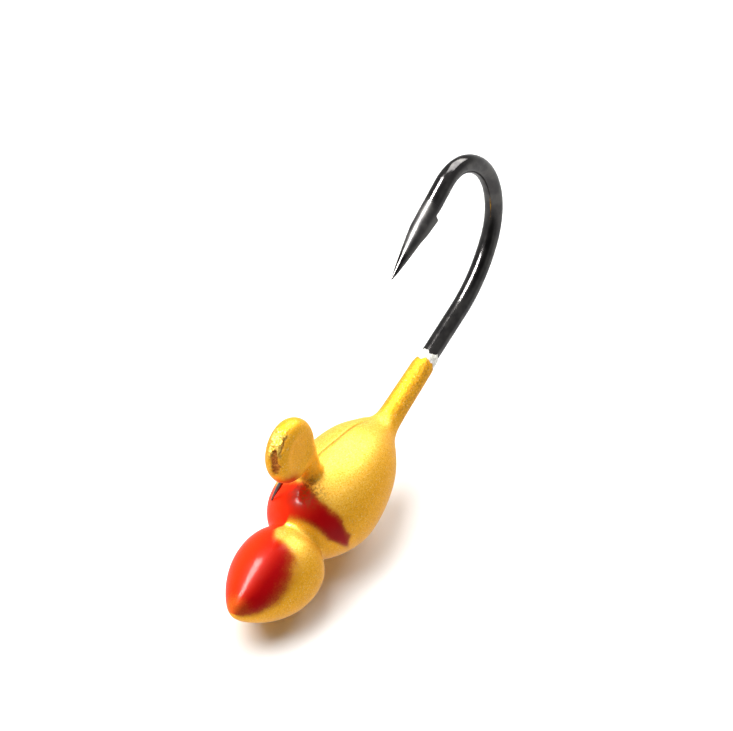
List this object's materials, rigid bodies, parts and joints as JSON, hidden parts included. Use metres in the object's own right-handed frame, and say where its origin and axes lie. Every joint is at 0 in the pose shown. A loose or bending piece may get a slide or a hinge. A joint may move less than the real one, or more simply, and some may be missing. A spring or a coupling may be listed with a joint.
{
  "type": "jig head",
  "caption": "Two-bulb ant-style ice-fishing jig head: a painted, weighted body soldered over a bent hook with a line eye on its back.",
  "frame": {"origin": "centre of the line eye, where the jig hangs from the line", "axes": "+X from the body's nose towards the hook's bend, +Z from the body up to the line eye and the hook point, +Y the left side; the hook lies in the XZ plane"},
  "size_m": [0.0236, 0.0046, 0.0102],
  "materials": {
    "hook_wire": "black nickel, polished",
    "tungsten": "sintered, matt",
    "solder": "tin solder, satin",
    "primer": "pale grey primer, rough",
    "gold_paint": "pearl gold yellow with metallic grain, satin",
    "red_paint": "orange red, high gloss"
  },
  "bodies": {
    "root": {"hook": "hook_wire", "tungsten_body": "tungsten", "solder_fill": "solder", "primer_sleeve": "primer", "gold_coat": "gold_paint", "red_coat_head": "red_paint", "red_coat_saddle": "red_paint"}
  },
  "joints": []
}
